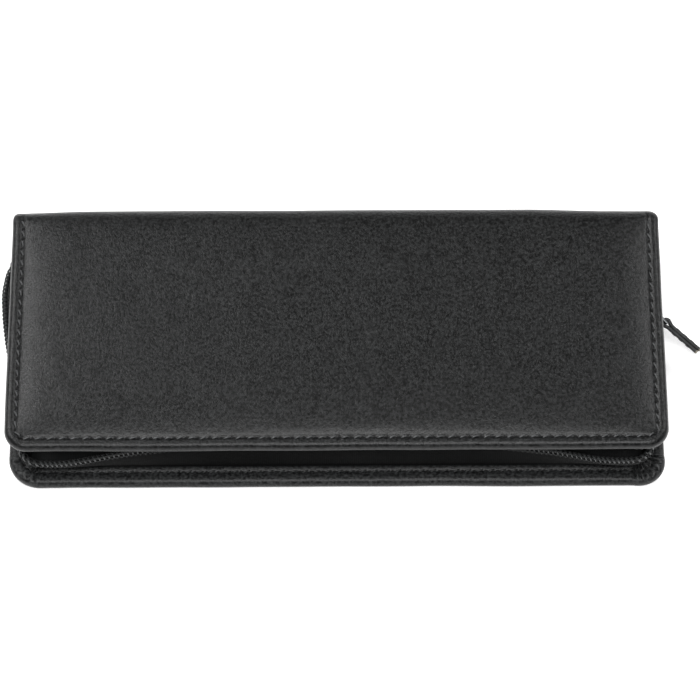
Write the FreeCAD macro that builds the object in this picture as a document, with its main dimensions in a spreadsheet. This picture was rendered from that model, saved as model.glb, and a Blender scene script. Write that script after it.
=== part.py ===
import FreeCAD, Part
import math
import os
import re

import Sketcher

# A leather zip-round case for three fountain pens, lying shut on its lower cover with its zip undone.
# +X is to the right along the case, +Y runs from the front edge to the spine, and +Z is up.
# The origin is on the face that the case rests on, midway along it. All sizes are in millimetres.

V = FreeCAD.Vector
UP = V(0, 0, 1)

SIZES = {
    "case_length": 175,  # left edge to right edge of both covers
    "front_reach": 37,  # origin to the bottom cover's front edge
    "lid_setback": 1.1,  # how far the top cover's front edge lies behind the bottom cover's
    "tray_back": 35.6,  # origin to the back of each stiffened cover
    "lip_back": 37.5,  # origin to where the covers' leather ends at the fold
    "spine_back": 39,  # origin to the outside of the spine
    "shut_height": 21.5,  # floor to the top cover's stitched border
    "dome_rise": 1.5,  # how far the padding lifts the middle of the top cover
    "dome_slope": 16,  # width of the padding's slope from the stitching inwards
    "dome_sink": 0.05,  # how far the swell starts inside the flat leather under it
    "pad_gap": 0.1,  # clearance between the lid's padding and its domed leather
    "leather": 1.0,
    "padding": 0.4,
    "board": 1.0,
    "lining": 0.5,
    "facing": 0.7,  # thickness of the turned-in leather rim
    "rim_width": 4.2,  # width of that rim
    "tray_wall": 2.6,  # height of a cover's leather at its edge, under the rim
    "edge_roll": 1.1,  # rounding of a cover's outer edge
    "lower_corner": 8.5,
    "upper_corner": 6.0,
    "seat_gap": 0.1,  # clearance round a board in its leather
    "spine_bend": 5.0,
    "fold_gap": 1.6,  # from each face of the case to the spine's leather
    "stitch_inset": 2.9,
    "stitch_pitch": 3.1,
    "stitch_span": 2.3,
    "thread": 0.5,
    "tape": 0.5,
    "tape_foot": 3.35,  # height at which the lower zip tape leaves the rim
    "tape_clear": 0.25,  # from the lid's rim down to the middle of the upper tape's foot
    "tape_inset": 4.65,  # case edge to the line where the tapes leave the rims
    "tape_back": 31,  # origin to the tapes' ends beside the spine
    "tape_corner": 4.2,
    "coil": 2.0,
    "stop_length": 2.0,
    "stop_width": 2.6,  # across the tape
    "stop_height": 1.7,  # along the tape's width, so that it ends where the tape does
    "stop_round": 0.5,
    "coil_left_back": 26,
    "coil_right_back": 19.5,
    "slider_place": 11,  # origin to the slider's middle, on the right side
    "slider_length": 10,
    "slider_plate": 0.65,
    "slider_gap": 0.35,  # coil to slider plate
    "slider_low": 7.0,
    "slider_high": 14.5,
    "bridge": 0.8,
    "bail_length": 4.0,
    "bail_rise": 1.75,
    "bail_width": 1.6,
    "bail_strap": 0.5,
    "link_reach": 4.2,
    "link_wire": 0.8,
    "link_width": 5.4,
    "strap_reach": 15.3,  # pivot to the strap's cut ends
    "strap_width": 3.4,
    "strap_leather": 0.85,
    "eye_gap": 0.1,  # link's bar to the strap folded round it
    "strap_stitch": 1.7,
    "strap_stitch_pitch": 2.4,
    "strap_thread": 0.3,
    "loop_length": 26,
    "loop_width": 15,
    "loop_height": 10.0,
    "elastic": 0.8,
    "loop_pitch": 19,
    "loop_middle": 4,  # origin to the middle pen loop
    "anchor_leather": 0.6,
    "divider": 0.8,
    "divider_height": 15.8,
    "divider_root": 36.4,
    "divider_front": 24,
    "divider_length": 151,
    "pocket_length": 150,
    "pocket_front": 27,
    "pocket_back": 17,
    "pocket": 0.6,
    "pocket_border": 4,
}

# The zip's two coils, as hand-set shapes along the case: the side and the place on it, how far the
# coil leans outwards from the rim, and how far it stands off the rim. The lower half flops outwards
# at both front corners and bulges out on the left. The upper half is tucked in under the lid.
LOWER_COIL = [
    ("left", 31, 1.2, 5.2),
    ("left", 26, 5.0, 7.0),
    ("left", 20, 6.5, 7.3),
    ("left", 11, 6.4, 7.4),
    ("left", 2, 5.3, 7.2),
    ("left", -10, 3.0, 7.0),
    ("left", -25, 1.2, 6.4),
    ("front", -74, 2.4, 7.0),
    ("front", -55, -0.6, 7.8),
    ("front", -36, -3.0, 8.0),
    ("front", 0, -3.4, 8.2),
    ("front", 36, -3.0, 8.0),
    ("front", 56, -0.6, 7.8),
    ("front", 73, 2.2, 7.2),
    ("right", -26, 0.75, 5.7),
    ("right", 31, 0.75, 5.7),
]
UPPER_COIL = [
    ("left", 31, -3.5, 4.4),
    ("left", 0, -5.5, 4.6),
    ("left", -26, -5.0, 4.8),
    ("front", -70, -5.2, 4.8),
    ("front", 0, -5.6, 4.6),
    ("front", 68, -5.2, 4.8),
    ("right", -26, 0.75, 5.5),
    ("right", 31, 0.75, 5.5),
]

# The pull strap hangs out and forwards from the slider, with its width nearly upright.
STRAP_WAY = V(10.8, -9.5, -5.5)
STRAP_UPRIGHT = V(0, -0.5, 0.866)

doc = FreeCAD.newDocument("pen_case")
sheet = doc.addObject("Spreadsheet::Sheet", "Size")
for row, (alias, size) in enumerate(SIZES.items(), start=1):
    sheet.set(f"A{row}", alias)
    sheet.set(f"B{row}", str(size))
    sheet.setAlias(f"B{row}", alias)
doc.recompute()

parts = []


def sized(formula):
    """The formula with each of the sheet's names made into a reference to its cell."""
    return re.sub(r"[a-z]\w*", lambda name: "Size." + name.group(), str(formula))


def value(formula):
    """What a formula over the sheet's names comes to."""
    return float(sheet.evalExpression(sized(formula)))


def new_body(label):
    body = doc.addObject("PartDesign::Body", label)
    body.Label = label
    parts.append(body)
    return body


def new_sketch(body, role, start):
    """An empty sketch parallel to one of the body's origin planes, at the height that start gives."""
    sketch = body.newObject("Sketcher::SketchObject", "Outline")
    plane = next(p for p in body.Origin.OriginFeatures if p.Role == role)
    sketch.AttachmentSupport = [(plane, "")]
    sketch.MapMode = "FlatFace"
    sketch.setExpression("AttachmentOffset.Base.z", sized(start))
    return sketch


def place_point(sketch, geometry, end, axes, *formulas):
    """Ties the end of a sketch's line to formulas for its places along the given axes."""
    for axis, formula in zip(axes, formulas):
        rule = Sketcher.Constraint("Distance" + axis, -1, 1, geometry, end, value(formula))
        index = sketch.addConstraint(rule)
        sketch.setExpression(f"Constraints[{index}]", sized(formula))


def polygon(corners):
    """A closed outline whose corners are pairs of formulas."""

    def draw(sketch):
        first = sketch.GeometryCount
        places = [V(value(x), value(y), 0) for x, y in corners]
        count = len(places)
        for i in range(count):
            sketch.addGeometry(Part.LineSegment(places[i], places[(i + 1) % count]))
        for i in range(count):
            following = first + (i + 1) % count
            sketch.addConstraint(Sketcher.Constraint("Coincident", first + i, 2, following, 1))
            place_point(sketch, first + i, 1, "XY", *corners[i])

    return draw


def rectangle(half_length, front, back):
    """A rectangle about the case's middle line, with front and back given as places along Y."""
    left = f"-({half_length})"
    return polygon([(left, front), (half_length, front), (half_length, back), (left, back)])


def rounded(half_length, front, back, radius):
    """The same rectangle with its two front corners rounded."""

    def draw(sketch):
        side, low, high, bend = value(half_length), value(front), value(back), value(radius)
        turn = math.pi / 2
        right_arc = Part.Circle(V(side - bend, low + bend, 0), UP, bend)
        left_arc = Part.Circle(V(bend - side, low + bend, 0), UP, bend)
        front_line, right_bend, right_line, back_line, left_line, left_bend = sketch.addGeometry(
            [
                Part.LineSegment(V(bend - side, low, 0), V(side - bend, low, 0)),
                Part.ArcOfCircle(right_arc, -turn, 0),
                Part.LineSegment(V(side, low + bend, 0), V(side, high, 0)),
                Part.LineSegment(V(side, high, 0), V(-side, high, 0)),
                Part.LineSegment(V(-side, high, 0), V(-side, low + bend, 0)),
                Part.ArcOfCircle(left_arc, 2 * turn, 3 * turn),
            ]
        )
        sketch.addConstraint(Sketcher.Constraint("Horizontal", front_line))
        sketch.addConstraint(Sketcher.Constraint("Vertical", right_line))
        sketch.addConstraint(Sketcher.Constraint("Vertical", left_line))
        sketch.addConstraint(Sketcher.Constraint("Coincident", right_line, 2, back_line, 1))
        sketch.addConstraint(Sketcher.Constraint("Coincident", back_line, 2, left_line, 1))
        sketch.addConstraint(Sketcher.Constraint("Tangent", front_line, 2, right_bend, 1))
        sketch.addConstraint(Sketcher.Constraint("Tangent", right_bend, 2, right_line, 1))
        sketch.addConstraint(Sketcher.Constraint("Tangent", left_line, 2, left_bend, 1))
        sketch.addConstraint(Sketcher.Constraint("Tangent", left_bend, 2, front_line, 1))
        for arc in (right_bend, left_bend):
            index = sketch.addConstraint(Sketcher.Constraint("Radius", arc, bend))
            sketch.setExpression(f"Constraints[{index}]", sized(radius))
        place_point(sketch, back_line, 1, "XY", half_length, back)
        place_point(sketch, left_line, 1, "XY", f"-({half_length})", back)
        place_point(sketch, front_line, 1, "Y", front)

    return draw


def extrude(body, kind, role, start, length, *outlines):
    """A pad or pocket of the outlines. A pad rises along the plane's normal, and so does a pocket's cut."""
    sketch = new_sketch(body, role, start)
    for outline in outlines:
        outline(sketch)
    before = body.Tip.Shape.Volume if body.Tip else 0
    feature = body.newObject("PartDesign::" + kind, kind)
    feature.Profile = sketch
    feature.setExpression("Length", sized(length))
    feature.Reversed = kind == "Pocket"
    doc.recompute()
    if kind == "Pocket" and feature.Shape.Volume >= before:
        raise ValueError(f"{body.Label}: a pocket cuts nothing")
    return feature


def pad(body, role, start, length, *outlines):
    return extrude(body, "Pad", role, start, length, *outlines)


def pocket(body, role, start, length, *outlines):
    return extrude(body, "Pocket", role, start, length, *outlines)


def round_edges(body, radius, wanted):
    """Fillets each edge of the body's last feature for which wanted(middle, direction) holds."""
    base = body.Tip
    names = []
    for index, edge in enumerate(base.Shape.Edges, start=1):
        start, end = edge.Vertexes[0].Point, edge.Vertexes[-1].Point
        middle = edge.valueAt((edge.FirstParameter + edge.LastParameter) / 2)
        way = end - start
        if way.Length > 0 and wanted(middle, way.normalize()):
            names.append(f"Edge{index}")
    fillet = body.newObject("PartDesign::Fillet", "Fillet")
    fillet.Base = (base, names)
    fillet.setExpression("Radius", sized(radius))
    doc.recompute()
    return fillet


def loft(body, kind, sections):
    """A straight-sided loft through sections given as (height, outline)."""
    sketches = []
    for height, outline in sections:
        sketch = new_sketch(body, "XY_Plane", height)
        outline(sketch)
        sketches.append(sketch)
    feature = body.newObject("PartDesign::" + kind, kind)
    feature.Profile = sketches[0]
    feature.Sections = sketches[1:]
    feature.Ruled = True
    doc.recompute()
    return feature


def upright(way):
    return abs(way.z) > 0.99


def add_shape(label, shape, placement=FreeCAD.Placement()):
    """A part whose shape is made by functions, from sizes read from the sheet."""
    part = doc.addObject("Part::Feature", label)
    part.Label = label
    part.Shape = shape
    part.Placement = placement
    parts.append(part)


# ---------------------------------------------------------------- covers


BOTTOM_FRONT = "-front_reach"
TOP_FRONT = "-front_reach + lid_setback"


def cover_outline(front, inset, corner, back="tray_back"):
    """A cover's outline drawn in by inset on its left, front and right sides."""
    return rounded(f"case_length / 2 - ({inset})", f"{front} + {inset}", back, corner)


def cover_leather(label, low, corner, domed):
    """One cover's outer leather: a floor, a wall up to the rim and a lip towards the fold.
    The domed cover is the lid, so its floor is on top."""
    body = new_body(label)
    front = TOP_FRONT if domed else BOTTOM_FRONT
    pad(body, "XY_Plane", low, "tray_wall", cover_outline(front, "0", corner))
    skin = value(f"{low} + tray_wall" if domed else low)
    back = value("tray_back")
    round_edges(body, "edge_roll", lambda middle, way: abs(middle.z - skin) < 0.01 and middle.y < back - 0.01)
    hollow_low = low if domed else f"{low} + leather"
    hollow = cover_outline(front, "leather", f"{corner} - leather", "tray_back - leather")
    pocket(body, "XY_Plane", hollow_low, "tray_wall - leather", hollow)
    if domed:
        dome(body, "AdditiveLoft", "shut_height - dome_sink", "rim_width")
        dome(body, "SubtractiveLoft", "shut_height - leather - dome_sink", "rim_width + 0.6")
    lip_low = "shut_height - leather" if domed else low
    lip = rectangle("case_length / 2", "tray_back", "lip_back")
    pad(body, "XY_Plane", lip_low, "leather", lip)


def dome(body, kind, height, inset, back="tray_back"):
    """The lid's swell: three outlines of falling size, one above the other."""
    shoulder = cover_outline(TOP_FRONT, f"{inset} + dome_slope * 0.4", "5", f"{back} - 3")
    sections = [
        (height, cover_outline(TOP_FRONT, inset, "3", f"{back} - 0.4")),
        (f"{height} + dome_rise * 0.75", shoulder),
        (f"{height} + dome_rise", cover_outline(TOP_FRONT, f"{inset} + dome_slope", "8", f"{back} - 9")),
    ]
    loft(body, kind, sections)


def cover_sheet(label, front, start, thickness, inset, corner):
    """A flat layer that fills the cover's outline drawn in by inset."""
    body = new_body(label)
    pad(body, "XY_Plane", start, thickness, cover_outline(front, inset, corner, f"tray_back - ({inset})"))
    return body


def cover_rim(label, front, start, corner):
    """The leather turned in over the cover's edge: a flat strip round the left, front and right sides."""
    body = new_body(label)
    pad(body, "XY_Plane", start, "facing", cover_outline(front, "0", corner))
    opening = cover_outline(front, "rim_width", f"{corner} - rim_width + 1", "tray_back + 1")
    pocket(body, "XY_Plane", start, "facing", opening)


def make_bottom_cover():
    seat = "leather + seat_gap"
    seat_corner = "lower_corner - leather - seat_gap"
    board_top = "leather + padding + board"
    cover_leather("bottom_leather", "0", "lower_corner", False)
    lining_corner = "lower_corner - rim_width"
    cover_sheet("bottom_pad", BOTTOM_FRONT, "leather", "padding", seat, seat_corner)
    cover_sheet("bottom_board", BOTTOM_FRONT, "leather + padding", "board", seat, seat_corner)
    cover_rim("bottom_rim", BOTTOM_FRONT, "tray_wall", "lower_corner")
    cover_sheet("bottom_lining", BOTTOM_FRONT, board_top, "lining", "rim_width + seat_gap", lining_corner)


def make_top_cover():
    low = "shut_height - tray_wall"
    pad_low = "shut_height - leather - padding"
    seat = "leather + seat_gap"
    seat_corner = "upper_corner - leather - seat_gap"
    lining_corner = "upper_corner - rim_width"
    cover_leather("top_leather", low, "upper_corner", True)
    pad_body = cover_sheet("top_pad", TOP_FRONT, pad_low, "padding", seat, seat_corner)
    swell = "shut_height - leather - dome_sink - pad_gap"
    dome(pad_body, "AdditiveLoft", swell, "rim_width + 1.2", "tray_back - leather")
    cover_sheet("top_board", TOP_FRONT, f"{pad_low} - board", "board", seat, seat_corner)
    cover_rim("top_rim", TOP_FRONT, f"{low} - facing", "upper_corner")
    lining_low = f"{pad_low} - board - lining"
    cover_sheet("top_lining", TOP_FRONT, lining_low, "lining", "rim_width + seat_gap", lining_corner)


# ---------------------------------------------------------------- spine and leaf


def bent_strip(label, back, low, high, thickness, bend):
    """A strip of the spine, C-shaped in section, with rounded folds at its top and bottom."""
    body = new_body(label)
    inner_low = f"{low} + {thickness}"
    inner_high = f"{high} - {thickness}"
    reach = f"{back} - {bend} - 2"
    section = [
        (reach, low),
        (back, low),
        (back, high),
        (reach, high),
        (reach, inner_high),
        (f"{back} - {thickness}", inner_high),
        (f"{back} - {thickness}", inner_low),
        (reach, inner_low),
    ]
    pad(body, "YZ_Plane", "-case_length / 2", "case_length", polygon(section))
    outside = value(back)
    inside = value(f"{back} - {thickness}")
    round_edges(body, bend, lambda middle, way: abs(way.x) > 0.99 and abs(middle.y - outside) < 0.01)
    round_edges(body, f"{bend} - {thickness}", lambda middle, way: abs(way.x) > 0.99
                and abs(middle.y - inside) < 0.01)
    return body


def make_spine():
    leather = bent_strip("spine_leather", "spine_back", "0", "shut_height", "leather", "spine_bend")
    over = "spine_back + 1"
    under_low = [("0", "-1"), (over, "-1"), (over, "fold_gap"), ("0", "fold_gap")]
    above = "shut_height + 1"
    top = "shut_height - fold_gap"
    over_high = [("0", top), (over, top), (over, above), ("0", above)]
    pocket(leather, "YZ_Plane", "-case_length / 2", "case_length", polygon(under_low))
    pocket(leather, "YZ_Plane", "-case_length / 2", "case_length", polygon(over_high))
    lining = new_body("spine_lining")
    face = "spine_back - leather - 0.1"
    section = [
        (f"{face} - lining", "spine_bend - leather"),
        (face, "spine_bend - leather"),
        (face, "shut_height - spine_bend + leather"),
        (f"{face} - lining", "shut_height - spine_bend + leather"),
    ]
    pad(lining, "YZ_Plane", "-case_length / 2 + rim_width", "case_length - 2 * rim_width", polygon(section))


def make_divider():
    """The soft leaf between the pens and the lid, sewn in beside the spine."""
    body = new_body("divider_leaf")
    outline = rounded("divider_length / 2", "-divider_front", "divider_root", "upper_corner")
    pad(body, "XY_Plane", "divider_height - divider / 2", "divider", outline)


def make_pocket():
    """The lid's slip pocket: a panel with a sewn border on three sides, open towards the spine."""
    body = new_body("pocket_panel")
    lining_low = "shut_height - leather - padding - board - lining"
    outline = rounded("pocket_length / 2", "-pocket_front", "pocket_back", "upper_corner")
    pad(body, "XY_Plane", f"{lining_low} - 2 * pocket", "2 * pocket", outline)
    space = rounded("pocket_length / 2 - pocket_border", "-pocket_front + pocket_border", "pocket_back + 1",
                    "upper_corner - pocket_border")
    pocket(body, "XY_Plane", f"{lining_low} - pocket", "pocket", space)


# ---------------------------------------------------------------- pen loops


def make_pen_loops():
    floor = "leather + padding + board + lining"
    strip = new_body("loop_anchor")
    half_span = "loop_pitch * 1.5"
    outline = rectangle("loop_length / 2 + 2", f"loop_middle - {half_span}", f"loop_middle + {half_span}")
    pad(strip, "XY_Plane", floor, "anchor_leather", outline)
    low = f"{floor} + anchor_leather"
    for number, place in enumerate((-1, 0, 1), start=1):
        middle = f"loop_middle + {place} * loop_pitch"
        outside = loop_section(middle, low, "loop_width / 2 + elastic", "loop_height + 2 * elastic")
        inside = loop_section(middle, f"{low} + elastic", "loop_width / 2", "loop_height")
        loop = new_body(f"pen_loop_{number}")
        pad(loop, "YZ_Plane", "-loop_length / 2", "loop_length", outside, inside)
        round_loop_top(loop, "loop_width / 3", f"{low} + elastic + loop_height")
        round_loop_top(loop, "loop_width / 3 + elastic", f"{low} + 2 * elastic + loop_height")


def loop_section(middle, low, half_width, height):
    front = f"{middle} - ({half_width})"
    back = f"{middle} + {half_width}"
    high = f"{low} + {height}"
    return polygon([(front, low), (back, low), (back, high), (front, high)])


def round_loop_top(body, radius, height):
    """Rounds the two long edges that run along the elastic at the given height."""
    top = value(height)
    round_edges(body, radius, lambda middle, way: abs(way.x) > 0.99 and abs(middle.z - top) < 0.01)


# ---------------------------------------------------------------- zip


SIDE = value("case_length / 2 - tape_inset")
FRONT = value("-front_reach + tape_inset")
CORNER = value("tape_corner")
STRAIGHT = value("tape_back") - (FRONT + CORNER)
ARC = CORNER * math.pi / 2
ACROSS = 2 * (SIDE - CORNER)
WHOLE = 2 * STRAIGHT + 2 * ARC + ACROSS


def along_rim(side, place):
    """Distance along the zip's line, from its left end, to a place given on one of the sides."""
    if side == "left":
        return value("tape_back") - place
    if side == "front":
        return STRAIGHT + ARC + place + (SIDE - CORNER)
    return STRAIGHT + 2 * ARC + ACROSS + place - (FRONT + CORNER)


def rim_place(distance):
    """(point, outward direction) on the zip's line, which rounds both front corners."""
    if distance <= STRAIGHT:
        return V(-SIDE, value("tape_back") - distance, 0), V(-1, 0, 0)
    if distance <= STRAIGHT + ARC:
        turn = (distance - STRAIGHT) / CORNER
        outward = V(-math.cos(turn), -math.sin(turn), 0)
        return V(-SIDE + CORNER, FRONT + CORNER, 0) + outward * CORNER, outward
    if distance <= STRAIGHT + ARC + ACROSS:
        return V(-SIDE + CORNER + distance - STRAIGHT - ARC, FRONT, 0), V(0, -1, 0)
    if distance <= WHOLE - STRAIGHT:
        turn = (distance - STRAIGHT - ARC - ACROSS) / CORNER
        outward = V(math.sin(turn), -math.cos(turn), 0)
        return V(SIDE - CORNER, FRONT + CORNER, 0) + outward * CORNER, outward
    return V(SIDE, FRONT + CORNER + distance - (WHOLE - STRAIGHT), 0), V(1, 0, 0)


def coil_offset(shape, distance):
    """(lean, rise) of the coil at a distance along the zip, eased between the hand-set places."""
    marks = [(along_rim(side, place), lean, rise) for side, place, lean, rise in shape]
    for (start, lean, rise), (end, next_lean, next_rise) in zip(marks, marks[1:]):
        if distance <= end:
            share = (distance - start) / (end - start)
            ease = share * share * (3 - 2 * share)
            return lean + (next_lean - lean) * ease, rise + (next_rise - rise) * ease
    return marks[-1][1:]


def zip_stations(start, end):
    """Distances along the zip: close together round the corners and wider apart on the straights."""
    steps = [start]
    while steps[-1] < end - 0.01:
        here = steps[-1]
        near_corner = min(abs(here - STRAIGHT - ARC / 2), abs(here - WHOLE + STRAIGHT + ARC / 2)) < ARC
        steps.append(min(end, here + (1.3 if near_corner else 4.0)))
    return steps


def zip_half(shape, foot, up, distance):
    """The tape's foot and its coil's centre at a distance along the zip, and the way out across the tape."""
    point, outward = rim_place(distance)
    lean, rise = coil_offset(shape, distance)
    base = point + V(0, 0, foot)
    centre = base + outward * lean + V(0, 0, up * rise)
    rib = (centre - base).normalize()
    across = (outward - rib * outward.dot(rib)).normalize()
    return base, centre, rib, across


def tape_section(shape, foot, up, distance):
    """A cut through the tape, from its foot to just short of the coil."""
    base, centre, rib, across = zip_half(shape, foot, up, distance)
    half = across * (value("tape") / 2)
    end = centre - rib * (value("coil") / 2 + 0.05)
    return Part.makePolygon([base - half, end - half, end + half, base + half, base - half])


def coil_section(shape, foot, up, distance):
    """An eight-sided cut through the coil."""
    _, centre, rib, across = zip_half(shape, foot, up, distance)
    radius = value("coil") / 2
    ring = []
    for corner in range(9):
        turn = math.pi * (corner % 8) / 4
        ring.append(centre + rib * (radius * math.cos(turn)) + across * (radius * math.sin(turn)))
    return Part.makePolygon(ring)


def zip_loft(section, shape, foot, up, start, end):
    wires = [section(shape, foot, up, distance) for distance in zip_stations(start, end)]
    return Part.makeLoft(wires, True, True)


def end_stop(label, shape, foot, up, distance):
    """A small crimped block that closes the end of a coil."""
    _, centre, rib, across = zip_half(shape, foot, up, distance)
    size = V(value("stop_length"), value("stop_width"), value("stop_height"))
    block = Part.makeBox(size.x, size.y, size.z, size * -0.5)
    block = block.makeFillet(value("stop_round"), block.Edges)
    along = rib.cross(across)
    add_shape(label, block, FreeCAD.Placement(centre, FreeCAD.Rotation(along, across, rib, "XZY")))


def make_zip():
    low_foot = value("tape_foot")
    high_foot = value("shut_height - tray_wall - facing - tape_clear")
    coil_start = along_rim("left", value("coil_left_back"))
    coil_end = along_rim("right", value("coil_right_back"))
    halves = (("lower", LOWER_COIL, low_foot, 1), ("upper", UPPER_COIL, high_foot, -1))
    for name, shape, foot, up in halves:
        add_shape(f"{name}_zip_tape", zip_loft(tape_section, shape, foot, up, 0, WHOLE))
        add_shape(f"{name}_zip_coil", zip_loft(coil_section, shape, foot, up, coil_start, coil_end))
        end_stop(f"{name}_top_stop", shape, foot, up, coil_start - 1.1)
    end_stop("zip_bottom_stop", LOWER_COIL, low_foot, 1, coil_end + 1.1)


# ---------------------------------------------------------------- slider and pull


COIL_X = SIDE + LOWER_COIL[-1][2]
OUTER_FACE = COIL_X + value("coil / 2 + slider_gap + slider_plate")


def make_slider():
    """Two plates either side of the coils, joined by a bridge that runs between the coils."""
    body = new_body("slider_body")
    half = value("coil / 2 + slider_gap")
    plate = value("slider_plate")
    low, high = value("slider_low"), value("slider_high")
    lip = half - value("tape") / 2 - 0.3
    lower = value("tape_foot") + LOWER_COIL[-1][3]
    upper = value("shut_height - tray_wall - facing - tape_clear") - UPPER_COIL[-1][3]
    middle = (lower + upper) / 2
    bridge = value("bridge") / 2
    lip_top = lower - value("coil") / 2 - value("slider_gap")
    section = [
        (COIL_X - half - plate, low),
        (COIL_X - half + lip, low),
        (COIL_X - half + lip, lip_top),
        (COIL_X - half, lip_top),
        (COIL_X - half, middle - bridge),
        (COIL_X + half, middle - bridge),
        (COIL_X + half, lip_top),
        (COIL_X + half - lip, lip_top),
        (COIL_X + half - lip, low),
        (COIL_X + half + plate, low),
        (COIL_X + half + plate, high),
        (COIL_X + half, high),
        (COIL_X + half, middle + bridge),
        (COIL_X - half, middle + bridge),
        (COIL_X - half, high),
        (COIL_X - half - plate, high),
    ]
    # The XZ plane's normal points to the front, so the pad runs forwards from the slider's back end.
    pad(body, "XZ_Plane", "-slider_place - slider_length / 2", "slider_length", polygon(section))
    round_edges(body, "0.6", lambda point, way: abs(way.x) > 0.99 and abs(point.z - middle) > 3.5)
    make_bail(middle)
    make_pull(middle)


def make_bail(height):
    """The arch on the slider's outer plate that holds the pull."""
    body = new_body("slider_bail")
    half = "bail_length / 2"
    feet = str(OUTER_FACE)
    section = [
        (feet, f"slider_place - {half}"),
        (f"{feet} + bail_rise", f"slider_place - {half}"),
        (f"{feet} + bail_rise", f"slider_place + {half}"),
        (feet, f"slider_place + {half}"),
        (feet, f"slider_place + {half} - bail_strap"),
        (f"{feet} + bail_rise - bail_strap", f"slider_place + {half} - bail_strap"),
        (f"{feet} + bail_rise - bail_strap", f"slider_place - {half} + bail_strap"),
        (feet, f"slider_place - {half} + bail_strap"),
    ]
    pad(body, "XY_Plane", f"{height} - bail_width / 2", "bail_width", polygon(section))
    top = value(f"{feet} + bail_rise")
    round_edges(body, "0.45", lambda middle, way: upright(way) and abs(middle.x - top) < 0.01)


def make_pull(height):
    """The wire link that swings in the bail and the leather strap folded round the link's far bar.
    Both are drawn flat, with X along the pull and Y across its width, and then turned into place."""
    pivot = V(OUTER_FACE + 0.65, value("slider_place"), height)
    turn = FreeCAD.Rotation(STRAP_WAY, STRAP_UPRIGHT, STRAP_WAY.cross(STRAP_UPRIGHT), "XYZ")
    link = new_body("pull_link")
    wire = "link_wire / 2"
    outside = [
        (f"-{wire}", "-link_width / 2"),
        (f"link_reach + {wire}", "-link_width / 2"),
        (f"link_reach + {wire}", "link_width / 2"),
        (f"-{wire}", "link_width / 2"),
    ]
    inside = [
        (wire, f"-link_width / 2 + 2 * {wire}"),
        (f"link_reach - {wire}", f"-link_width / 2 + 2 * {wire}"),
        (f"link_reach - {wire}", f"link_width / 2 - 2 * {wire}"),
        (wire, f"link_width / 2 - 2 * {wire}"),
    ]
    pad(link, "XY_Plane", f"-{wire}", "link_wire", polygon(outside))
    pocket(link, "XY_Plane", f"-{wire}", "link_wire", polygon(inside))
    round_edges(link, "link_wire * 0.4", lambda middle, way: abs(abs(middle.z) - value(wire)) < 0.01)
    link.Placement = FreeCAD.Placement(pivot, turn)
    strap = new_body("pull_strap")
    fold = "(link_wire / 2 + eye_gap)"
    thick = f"({fold} + strap_leather)"
    start = f"link_reach - {thick}"
    eye_end = f"link_reach + {fold}"
    neck_end = f"link_reach + {thick} + 1"
    # The strap's section, drawn on the XZ plane: an eye round the bar, then two layers face to face.
    upper = [(eye_end, thick), (neck_end, "strap_leather"), ("strap_reach", "strap_leather")]
    lower = [(x, f"-({z})") for x, z in reversed(upper)]
    section = [(start, thick), *upper, *lower, (start, f"-({thick})")]
    pad(strap, "XZ_Plane", "-strap_width / 2", "strap_width", polygon(section))
    round_edges(strap, f"{thick} - 0.05", lambda middle, way: abs(way.y) > 0.99
                and abs(middle.x - value(start)) < 0.01)
    hole = [(f"link_reach - {fold}", f"-({fold})"), (f"link_reach + {fold}", f"-({fold})"),
            (f"link_reach + {fold}", fold), (f"link_reach - {fold}", fold)]
    pocket(strap, "XZ_Plane", "-strap_width / 2", "strap_width", polygon(hole))
    strap.Placement = FreeCAD.Placement(pivot, turn)
    threads = []
    radius = value("strap_thread / 2")
    height = value("strap_leather") + radius
    for row in (-1, 1):
        for step in range(3):
            along = value(f"{neck_end} + strap_thread + strap_stitch_pitch * {step}")
            place = V(along, row * value("strap_width / 3"), height)
            threads.append(Part.makeCylinder(radius, value("strap_stitch"), place, V(1, 0, 0)))
    add_shape("pull_stitching", Part.makeCompound(threads), FreeCAD.Placement(pivot, turn))


# ---------------------------------------------------------------- stitching


def stitch_row(label, cover_front, height, corner):
    """Lock stitches along the left, front and right sides of a cover, lying on its leather."""
    inset = value("stitch_inset")
    side = value("case_length / 2") - inset
    front = value(cover_front) + inset
    back = value("tray_back") - 1
    radius = corner - inset
    pitch, span, thread = value("stitch_pitch"), value("stitch_span"), value("thread") / 2
    side_run = back - (front + radius)
    front_run = 2 * (side - radius)
    stitches = []
    for count in range(int(side_run / pitch)):
        for edge in (-side, side):
            place = V(edge, front + radius + pitch * count, height + thread)
            stitches.append(Part.makeCylinder(thread, span, place, V(0, 1, 0)))
    for count in range(int(front_run / pitch)):
        place = V(-side + radius + pitch * count, front, height + thread)
        stitches.append(Part.makeCylinder(thread, span, place, V(1, 0, 0)))
    for edge in (-1, 1):
        place = V(edge * (side - radius * 0.62), front + radius * 0.18, height + thread)
        stitches.append(Part.makeCylinder(thread, span, place, V(edge * 1, 0.75, 0)))
    add_shape(label, Part.makeCompound(stitches))


# ---------------------------------------------------------------- build and check


make_bottom_cover()
stitch_row("bottom_stitching", BOTTOM_FRONT, value("tray_wall + facing"), value("lower_corner"))
make_pen_loops()
make_spine()
make_divider()
make_top_cover()
stitch_row("top_stitching", TOP_FRONT, value("shut_height"), value("upper_corner"))
make_pocket()
make_zip()
make_slider()
doc.recompute()

for item in doc.Objects:
    if "Invalid" in item.State or "Error" in item.State:
        raise ValueError(f"{item.Label} failed: {item.State}")

for part in parts:
    if part.Shape.isNull() or not part.Shape.isValid() or not part.Shape.Solids:
        raise ValueError(f"{part.Label} has no valid solid")

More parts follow.
